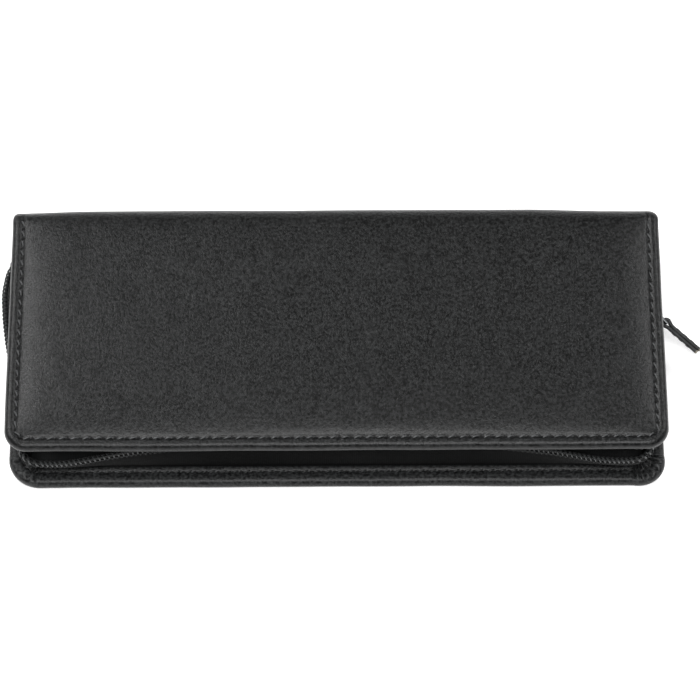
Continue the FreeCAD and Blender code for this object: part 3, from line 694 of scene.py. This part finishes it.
def zip_half(shape, foot, up, distance):
    """The tape's foot, the coil's centre, and the directions up the tape, across it and along it."""
    marks = np.array([(along_rim(side, mark[0]), *mark[1:]) for side in shape for mark in shape[side]])
    lean, rise = (eased(distance, marks[:, 0], marks[:, column]) for column in (1, 2))
    point, out = rim_line(distance)
    base = point + [0, 0, foot]
    centre = base + out * lean[:, None]
    centre[:, 2] += up * rise
    rib = unit(centre - base)
    across = unit(out - rib * np.sum(out * rib, -1, keepdims=True))
    return base, centre, rib, across, np.cross(rib, across)


def eased(distance, places, values):
    """A smooth curve through given values, level beyond its ends and between two equal values."""
    slopes = np.gradient(values, places)
    flat = np.append(np.diff(values) == 0, False)
    slopes[flat | np.roll(flat, 1)] = 0
    d = np.clip(distance, places[0], places[-1])
    cell = np.clip(np.searchsorted(places, d, side="right") - 1, 0, len(places) - 2)
    width = places[cell + 1] - places[cell]
    s = (d - places[cell]) / width
    rise = values[cell] * (1 + 2 * s) * (1 - s) ** 2 + values[cell + 1] * s * s * (3 - 2 * s)
    return rise + width * (slopes[cell] * s * (1 - s) ** 2 - slopes[cell + 1] * s * s * (1 - s))


def zip_tape(name, shape, foot, up):
    """The woven tape from the rim to its coil, bowed a little and gathered where the coil leans out."""
    half_thick, selvage_half_thick, sewn_in = 0.24, 0.16, 0.45
    distance = np.linspace(0, WHOLE, 520)
    base, centre, rib, across, _ = zip_half(shape, foot, up, distance)
    if up > 0:
        base = base - rim_line(distance)[1] * (RIM_WIDTH[False] - RIM_WIDTH[True])
    length = np.linalg.norm(centre - base, axis=1)
    shares = np.linspace(0, 1, 9)
    middle = []
    for share in shares:
        bow = 0.55 * math.sin(math.pi * share) * (1 + 0.5 * np.sin(distance / 11))
        ripple = 0.16 * share * np.sin(distance / 2.3 + 1.2 * np.sin(distance / 9))
        middle.append(base + (centre - base) * share + across * (bow + ripple)[:, None])
    middle = [base - rib * sewn_in] + middle
    thick = np.full(len(middle), half_thick)
    thick[-1] = selvage_half_thick
    outer = [m + across * h for m, h in zip(middle, thick)]
    inner = [m - across * h for m, h in zip(middle, thick)]
    rings = np.stack(outer + inner[::-1], axis=1)
    v = np.concatenate([[0], shares * float(length.mean())])
    return sweep(name, rings, TAPE, uv=strip_uv(distance, np.concatenate([v, v[::-1]])))


def zip_coil(name, shape, foot, up, start, end):
    """The nylon filament wound into a flattened coil, with its slanted teeth."""
    turns = (end - start) / COIL_PITCH
    distance = np.linspace(start, end, int(turns * 14))
    _, centre, rib, across, along = zip_half(shape, foot, up, distance)
    phase = 2 * math.pi * (distance - start) / COIL_PITCH
    c, s = np.cos(phase), np.sin(phase)
    flat_c = np.sign(c) * np.abs(c) ** 0.8
    path = centre + rib * (0.86 * flat_c)[:, None] + across * (0.62 * s)[:, None]
    path = path + along * (0.24 * s * up)[:, None]
    way = unit(np.gradient(path, axis=0))
    out = unit(path - centre - way * np.sum((path - centre) * way, -1, keepdims=True))
    side = np.cross(way, out)
    radius = 0.25 + 0.06 * np.clip(flat_c, 0, 1) ** 4
    angles = np.arange(6) * math.pi / 3
    rings = [path + radius[:, None] * (math.cos(a) * out + math.sin(a) * side) for a in angles]
    return sweep(name, np.stack(rings, axis=1), NYLON)


def coil_sewing(name, shape, foot, up, start, end):
    """The filler cord inside the coil and the two rows of thread that hold it to its tape."""
    distance = np.arange(start, end, COIL_PITCH / 6)
    _, centre, rib, across, _ = zip_half(shape, foot, up, distance)
    wave = np.cos(2 * math.pi * (distance - start) / COIL_PITCH)
    angles = np.arange(5) * 2 * math.pi / 5
    pieces = []
    rows = [(0.0, 0.0, 0.36)] + [(rise, side, 0.17) for rise in (-1.15, -0.25) for side in (-1, 1)]
    for rise, side, radius in rows:
        lift = side * (0.80 + 0.14 * wave + 0.45 * min(rise + 0.25, 0))
        path = centre + rib * rise + across * (lift * abs(side))[:, None]
        spokes = [math.cos(a) * rib + math.sin(a) * across for a in angles]
        rings = np.stack([path + radius * spoke for spoke in spokes], axis=1)
        pieces.append((rings.reshape(-1, 3), tube_faces(*rings.shape[:2])))
    return joined(name, pieces, RIM_THREAD)


def make_zip():
    coil_start = along_rim("left", COIL_START)
    coil_end = along_rim("right", COIL_END)
    halves = (
        ("lower", LOWER_COIL, LOWER_FOOT, 1, "bottom_cover", "base_leather"),
        ("upper", UPPER_COIL, UPPER_FOOT, -1, "top_cover", "lid_leather"),
    )
    for half, shape, foot, up, body, holder in halves:
        tape = zip_tape(f"{half}_tape", shape, foot, up)
        coil = zip_coil(f"{half}_coil", shape, foot, up, coil_start, coil_end)
        sewing = coil_sewing(f"{half}_coil_sewing", shape, foot, up, coil_start, coil_end)
        for piece, cad_node, slot in (
            (tape, f"{half}_zip_tape", "zip_tape"),
            (coil, f"{half}_zip_coil", "zip_coil"),
            (sewing, f"{half}_zip_coil", "thread"),
        ):
            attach(piece, body)
            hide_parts(cad_node)


make_zip()


# ---------------- flat pieces inside the case


def panel_lines(half, step, thickness):
    """Places across a panel: close together where its edge rounds off, then evenly spaced."""
    near = np.array([0, 0.04, 0.15, 0.34, 0.6]) * thickness
    inner = np.linspace(-half + thickness, half - thickness, max(int(2 * half / step), 4))
    return np.concatenate([-half + near, inner, half - near[::-1]])


def panel(name, half_x, half_y, radius, thickness, place, material, step=1.5, shape=None):
    """A soft flat piece with rounded corners and edges. place(x, y, h) puts a point at height h off its
    middle face into the frame, and shape(x, y) gives (how far the middle shifts, extra thickness)."""
    xs = panel_lines(half_x, step, thickness)
    ys = panel_lines(half_y, step, thickness)
    x, y = np.meshgrid(xs, ys, indexing="ij")
    a = np.clip((np.abs(x) - (half_x - radius)) / radius, 0, 1)
    b = np.clip((np.abs(y) - (half_y - radius)) / radius, 0, 1)
    bent_a, bent_b = a * np.sqrt(1 - b * b / 2), b * np.sqrt(1 - a * a / 2)
    gap = np.minimum(half_x - np.abs(x), half_y - np.abs(y))
    both = (a > 0) & (b > 0)
    gap = np.where(both, radius * (1 - np.hypot(bent_a, bent_b)), gap)
    x = np.where(a > 0, np.sign(x) * (half_x - radius + radius * bent_a), x)
    y = np.where(b > 0, np.sign(y) * (half_y - radius + radius * bent_b), y)
    round_off = np.sqrt(np.clip(1 - (1 - np.clip(gap / (thickness / 2), 0, 1)) ** 2, 0, 1))
    shift, extra = shape(x, y) if shape else (0.0, 0.0)
    high = place(x, y, shift + (thickness / 2 + extra) * round_off)
    low = place(x, y, shift - thickness / 2 * round_off)
    top = np.arange(x.size).reshape(x.shape)
    bottom = top + x.size
    for edge in (np.s_[0, :], np.s_[-1, :], np.s_[:, 0], np.s_[:, -1]):
        bottom[edge] = top[edge]
    faces = grid_faces(top) + [quad[::-1] for quad in grid_faces(bottom)]
    points = np.vstack([high.reshape(-1, 3), low.reshape(-1, 3)])
    return make_mesh(name, *used_only(points, faces), material)


def level(front, back, height, up=1):
    """A panel's place on a level face, between two places along Y."""
    middle = (front + back) / 2

    def place(x, y, h):
        return np.stack(np.broadcast_arrays(x, y + middle, height + up * h), -1)

    return place


def three_sides(half_x, front, back, inset, height):
    """A stitch line along the left, front and right sides of a level piece."""
    side, low = half_x - inset, front + inset
    corners = [(-side, back), (-side, low), (side, low), (side, back)]
    points = []
    for (x0, y0), (x1, y1) in zip(corners, corners[1:]):
        steps = int(math.hypot(x1 - x0, y1 - y0))
        points += [(x0 + (x1 - x0) * k / steps, y0 + (y1 - y0) * k / steps, height) for k in range(steps)]
    return np.array(points + [(*corners[-1], height)])


def gentle(amount, size, seed):
    """A panel's shape: soft waves and no extra thickness."""
    return lambda x, y: (amount * rough_field(x, y, size, seed), 0.0)


LINING_BACK = 34.9  # where the covers' linings end, behind their boards' back edges


def make_linings():
    flats = (
        ("base_lining", "bottom_lining", -32.7, 2.65, 1, "bottom_cover"),
        ("lid_lining", "top_lining", -31.6, 18.85, -1, "top_cover"),
    )
    half_x, corner, thickness, step = 83.2, 4.0, 0.5, 2.5
    for name, cad_node, front, height, up, body in flats:
        place = level(front, LINING_BACK, height, up)
        half_y = (LINING_BACK - front) / 2
        waves = gentle(0.04, 14, height)
        made = panel(name, half_x, half_y, corner, thickness, place, LINING, step, waves)
        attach(made, body)
        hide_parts(cad_node)

    def upright(x, y, h):
        return np.stack(np.broadcast_arrays(x, 37.65 - h, y + 10.75), -1)

    made = panel("spine_inner_lining", 83.3, 6.7, 1.0, 0.5, upright, LINING, 1.5, gentle(0.05, 9, 5))
    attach(made, "spine")
    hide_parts("spine_lining")


def make_leaf():
    """The soft leaf between the pens and the lid, in two thin skins sewn together round its edge."""

    half_x, half_y, corner, thickness, seam_inset = 75.5, 30.2, 6.0, 0.8, 2.2

    def skins(x, y):
        edge = np.minimum(half_x - np.abs(x), y + half_y)
        seam = -0.10 * np.exp(-((edge - seam_inset) / 0.5) ** 2)
        return 0.18 * rough_field(x, y, 22, 3), seam

    place = level(-24, 36.4, 15.8)
    made = panel("divider_skin", half_x, half_y, corner, thickness, place, INNER_LEATHER, 0.9, skins)
    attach(made, "divider")
    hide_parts("divider_leaf")
    line = three_sides(half_x, -24, 33, seam_inset, 16.16)
    pieces = flat_seam(line, 1)
    line[:, 2] = 15.44
    pieces += flat_seam(line, -1)
    sewing = joined("divider_sewing", pieces, THREAD)
    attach(sewing, "divider")


def make_slip_pocket():
    """The lid's pocket: its panel bellies off the lining, and its mouth has a turned hem."""

    half_x, half_y, corner, thickness, glued = 75.0, 22.0, 5.0, 0.6, 2.6

    def belly(x, y):
        inside = smooth((half_x - np.abs(x) - glued) / 4) * smooth((y + half_y - glued) / 4)
        hem = 0.28 * np.exp(-((y - 20.2) / 1.3) ** 4)
        return 0.55 * inside + 0.10 * rough_field(x, y, 15, 9) * inside, hem

    place = level(-27, 17, 18.28, -1)
    made = panel("slip_pocket", half_x, half_y, corner, thickness, place, INNER_LEATHER, 0.9, belly)
    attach(made, "top_cover")
    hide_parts("pocket_panel")
    line = three_sides(half_x, -27, 16, 2.0, 17.98)
    pieces = flat_seam(line, -1, sink=0.08)
    hem = np.array([(x, 13.6, 17.40) for x in np.arange(-70.0, 71.0)])
    pieces += flat_seam(hem, -1)
    sewing = joined("slip_pocket_sewing", pieces, THREAD)
    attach(sewing, "top_cover")


# ---------------- pen loops

LOOP_MIDDLES = (-15.0, 4.0, 23.0)  # places of the three loops along Y
ANCHOR_TOP = 3.5  # height of the strip that the loops are sewn to
BAND_HALF_WIDTH = 13
RIB_PITCH = 1.25


def loop_path():
    """(y, z) of the line round one loop: up from the anchor, over the pen, down and back underneath."""
    half, top, bend, foot = 7.9, ANCHOR_TOP + 11.2, 5.4, ANCHOR_TOP + 0.45
    turns = np.linspace(0, math.pi / 2, 14)
    right = [(half, z) for z in np.linspace(foot, top - bend, 8)[:-1]]
    arc = [(half - bend + bend * math.cos(a), top - bend + bend * math.sin(a)) for a in turns]
    over = arc + [(-y, z) for y, z in arc[::-1]]
    left = [(-y, z) for y, z in right[::-1]]
    under = [(y, foot) for y in np.linspace(-half, half, 22)[1:-1]]
    return np.array(right + over + left + under)


def loop_rings(middle, path, xs):
    """The band's cross-section at each point of its path: ribbed, thin at its edges, sagging on top."""
    half_thick = 0.4
    ahead = np.roll(path, -1, axis=0) - np.roll(path, 1, axis=0)
    out = unit(np.stack([ahead[:, 1], -ahead[:, 0]], -1))
    ribs = 0.09 * np.cos(2 * math.pi * xs / RIB_PITCH)
    edge = np.sqrt(np.clip(1 - (1 - np.clip((BAND_HALF_WIDTH - np.abs(xs)) / 0.4, 0, 1)) ** 2, 0.05, 1))
    sag = 0.25 * np.sin(math.pi * (xs + BAND_HALF_WIDTH) / (2 * BAND_HALF_WIDTH))
    rings = []
    for (y, z), (ny, nz) in zip(path, out):
        lift = sag * np.clip((z - ANCHOR_TOP - 1) / 8, 0, 1)
        faces = []
        for sign, order in ((1, slice(None)), (-1, slice(None, None, -1))):
            shift = (lift + sign * (half_thick + ribs) * edge)[order]
            faces.append(np.stack([xs[order], middle + y + ny * shift, z + nz * shift], -1))
        rings.append(np.vstack(faces))
    return rings


def loop_band(number, middle):
    """One elastic loop, a ribbed woven band, at its place along Y."""
    path = loop_path()
    xs = np.linspace(-BAND_HALF_WIDTH, BAND_HALF_WIDTH, 105)
    uv = strip_uv(running_length(path), np.concatenate([xs, xs[::-1]]))
    rings = loop_rings(middle, path, xs)
    made = sweep(f"pen_band_{number}", rings, ELASTIC, closed_path=True, uv=uv)
    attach(made, "bottom_cover")
    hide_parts(f"pen_loop_{number}")


def make_loops():
    for number, middle in enumerate(LOOP_MIDDLES, start=1):
        loop_band(number, middle)
    place = level(-24.5, 32.5, 3.2)
    strip = panel("anchor_strip", 15.0, 28.5, 2.0, 0.6, place, INNER_LEATHER, 0.9, gentle(0.03, 8, 2))
    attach(strip, "bottom_cover")
    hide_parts("loop_anchor")
    seam_height = 3.52
    lines = [[(x, y, seam_height) for x in np.arange(-13.0, 13.5)] for y in (-5.5, 13.5)]
    lines += [[(x, y, seam_height) for y in np.arange(-23.0, 31.5)] for x in (-13.8, 13.8)]
    pieces = []
    for line in lines:
        pieces += flat_seam(np.array(line), 1, sink=0.08, pitch=2.6, length=2.0)
    sewing = joined("anchor_sewing", pieces, THREAD)
    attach(sewing, "bottom_cover")


make_loops()
make_linings()
make_leaf()
make_slip_pocket()


# ---------------- pull strap

PIVOT = np.array([86.25, 11.0, 10.75])  # where the link hangs in the slider's bail
STRAP_WAY = unit(np.array([10.8, -9.5, -5.5]))  # along the strap, away from the case
STRAP_UPRIGHT = unit(np.array([0, -0.5, 0.866]))  # across its width
STRAP_OFF = np.cross(STRAP_WAY, STRAP_UPRIGHT)  # off its face
LINK_REACH = 4.2  # from the pivot to the link's far bar
STRAP_REACH = 15.7  # from the pivot to the strap's cut ends
STRAP_STITCHES = (7.1, 9.5, 11.9)  # where the stitches of one row start
STRAP_STITCH = 1.7  # length of one of them


def strap_place(along, across, off):
    along, across, off = (np.asarray(v, float)[..., None] for v in (along, across, off))
    return PIVOT + along * STRAP_WAY + across * STRAP_UPRIGHT + off * STRAP_OFF


def strap_layers():
    """(along, off) of the middle of the strap's two layers, both from the cut ends to the link."""
    along = np.linspace(STRAP_REACH, LINK_REACH + 2.2, 22)
    share = (along - along[-1]) / (along[0] - along[-1])
    bend = -0.8 * share
    splay = 0.10 * share ** 4
    outer = np.stack([along, 0.45 + splay + bend], -1)
    return outer, np.stack([along + 0.25 * share, -0.45 - splay + bend], -1)


def strap_path(outer, inner):
    """(along, off) of the line down one layer, round the link's far bar and back up the other."""
    eye = 0.93
    neck = [(LINK_REACH + 1.5, 0.47), (LINK_REACH + 0.9, 0.64)]
    turns = np.linspace(math.pi / 2.4, 2 * math.pi - math.pi / 2.4, 15)
    fold = [(LINK_REACH + eye * math.cos(a), eye * math.sin(a)) for a in turns]
    return np.vstack([outer, neck, fold, [(a, -b) for a, b in neck[::-1]], inner[::-1]])


def strap_section():
    """(across, off) of the corners round the strap's cross-section, with bevelled edges."""
    half_width, half_thick, bevel = 1.7, 0.46, 0.12
    section = []
    for a, b in ((1, 1), (-1, 1), (-1, -1), (1, -1)):
        corner = [(a * half_width, b * (half_thick - bevel)), (a * (half_width - bevel), b * half_thick)]
        section += corner if a * b > 0 else corner[::-1]
    return np.array(section)


def strap_leather(path):
    """A thin strap folded round the link's far bar, with its raw ends cut off."""
    section = strap_section()
    ahead = np.gradient(path, axis=0)
    normal = unit(np.stack([-ahead[:, 1], ahead[:, 0]], -1))
    rings = []
    for (x, off), (nx, noff) in zip(path, normal):
        wide = section[:, 0] * (1 + 0.01 * math.sin(x * 0.7))
        rings.append(strap_place(x + nx * section[:, 1], wide, off + noff * section[:, 1]))
    made = sweep("strap_leather", rings, BASE_LEATHER)
    made.data.materials.append(RAW_LEATHER)
    cut_ends = list(made.data.polygons)
    for polygon in cut_ends[:len(section)] + cut_ends[-2 - len(section):]:
        polygon.material_index = 1
    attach(made, "pull")
    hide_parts("pull_strap")


def strap_sewing(outer, inner):
    """The two rows of stitches that hold the strap's layers together, seen on both faces."""
    surface, radius, arch = 0.42, 0.12, 0.06
    pieces = []
    for row in (-1.1, 1.1):
        for side, layer in ((1, outer), (-1, inner)):
            for start in STRAP_STITCHES:
                ends = [start, start + STRAP_STITCH]
                offs = [np.interp(e, layer[::-1, 0], layer[::-1, 1]) + side * surface for e in ends]
                places = [strap_place(e, row, o) for e, o in zip(ends, offs)]
                pieces.append(capsule(*places, STRAP_OFF * side, radius, arch))
    sewing = joined("strap_sewing", pieces, THREAD)
    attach(sewing, "pull")
    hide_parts("pull_stitching")


def make_strap():
    outer, inner = strap_layers()
    strap_leather(strap_path(outer, inner))
    strap_sewing(outer, inner)


make_strap()


# ---------------- CAD pieces kept as they are

KEPT = {
    "bottom_pad": FELT,
    "top_pad": FELT,
    "bottom_board": BOARD,
    "top_board": BOARD,
    "lower_top_stop": NYLON,
    "upper_top_stop": NYLON,
    "zip_bottom_stop": NYLON,
    "slider_body": METAL,
    "slider_bail": METAL,
    "pull_link": METAL,
}
for cad_name, finish in KEPT.items():
    cad_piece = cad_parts[cad_name]
    cad_piece.data.materials.clear()
    cad_piece.data.materials.append(finish)
    for polygon in cad_piece.data.polygons:
        polygon.material_index = 0


# ---------------- floor, light and camera


def make_floor():
    mesh = bpy.data.meshes.new("floor")
    reach = 6.0
    corners = [(-reach, -reach, 0), (reach, -reach, 0), (reach, reach, 0), (-reach, reach, 0)]
    mesh.from_pydata(corners, [], [(0, 1, 2, 3)])
    material, tree, shader = new_material("pale_floor")
    fill(tree, shader, {
        "Base Color": (0.92, 0.92, 0.92, 1),
        "Emission Color": (1, 1, 1, 1),
        "Emission Strength": 0.35,
        "Roughness": 1.0,
        "Specular IOR Level": 0.0,
    })
    mesh.materials.append(material)
    floor = add_object("floor", mesh)


def make_light(name, place, size, power):
    data = bpy.data.lights.new(name, "AREA")
    data.shape = "RECTANGLE"
    data.size, data.size_y = size
    data.energy = power
    light = add_object(name, data)
    light.location = place
    light.rotation_euler = (Vector((0, 0, 0.01)) - light.location).to_track_quat("-Z", "Y").to_euler()


def make_camera():
    target = Vector((0.0037, -0.0007, 0.0111))
    turn, rise, distance = math.radians(-0.3), math.radians(60), 1.08
    way = Vector((math.sin(turn) * math.cos(rise), -math.cos(turn) * math.cos(rise), math.sin(rise)))
    data = bpy.data.cameras.new("camera")
    data.lens = 206.6
    data.sensor_width = 36
    camera = add_object("camera", data)
    camera.location = target + way * distance
    camera.rotation_euler = (-way).to_track_quat("-Z", "Y").to_euler()
    bpy.context.scene.camera = camera


make_floor()
make_light("softbox_front", (0.0, -0.6, 1.6), (1.1, 0.8), 31)
make_light("softbox_left", (-0.7, 0.75, 1.1), (0.45, 0.45), 12.5)
make_light("softbox_right", (0.8, 0.7, 1.0), (0.4, 0.4), 7)
make_camera()

world = bpy.data.worlds.new("studio")
world.use_nodes = True
fill(world.node_tree, world.node_tree.nodes["Background"], {"Color": (1, 1, 1, 1), "Strength": 0.10})
bpy.context.scene.world = world
bpy.context.scene.view_settings.view_transform = "Standard"
